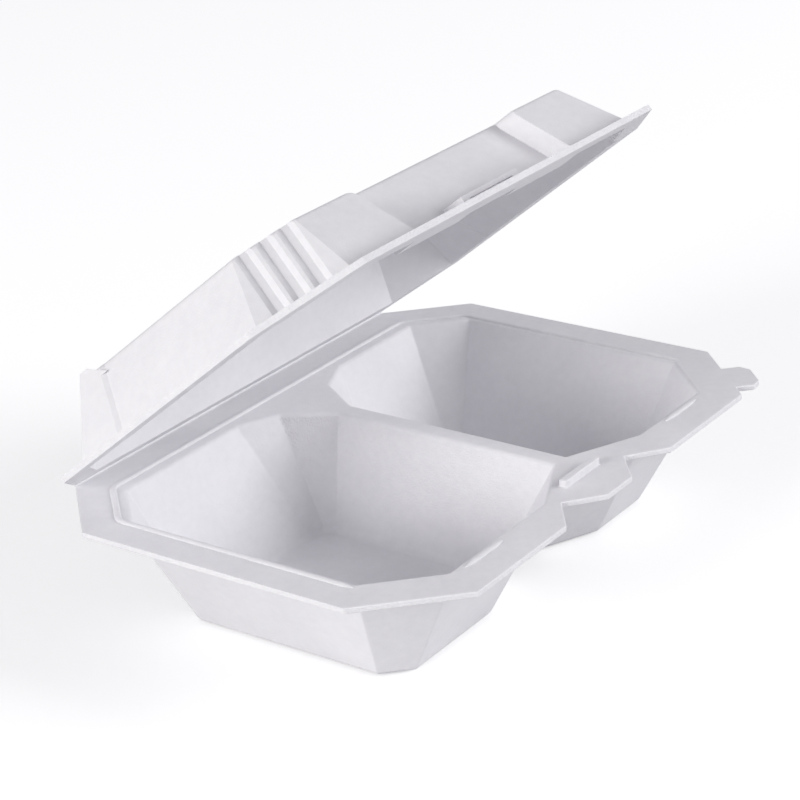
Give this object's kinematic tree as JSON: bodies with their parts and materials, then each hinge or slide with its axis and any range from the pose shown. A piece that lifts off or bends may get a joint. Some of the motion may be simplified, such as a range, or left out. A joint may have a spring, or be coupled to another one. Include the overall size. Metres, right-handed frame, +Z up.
{
  "type": "foam clamshell container",
  "caption": "Hinged foam food container: deep tray with side-by-side compartments under a domed lid, shown part open, with a tongue and slot closure.",
  "frame": {"origin": "under the middle of the tray, on the plane that it stands on", "axes": "+X along the hinge, +Y from the front towards the hinge, +Z up"},
  "size_m": [0.236, 0.1644, 0.1541],
  "materials": {
    "foam": "satin skin of thermoformed polystyrene foam"
  },
  "bodies": {
    "tray": {"base_tray": "foam"},
    "cover": {"lid": "foam"}
  },
  "joints": [
    {"name": "lid_hinge", "type": "hinge", "parent": "tray", "child": "cover", "pos_m": [0, 0.0815, 0.04615], "axis": [-1, 0, 0], "range_deg": [-39, 141]}
  ]
}
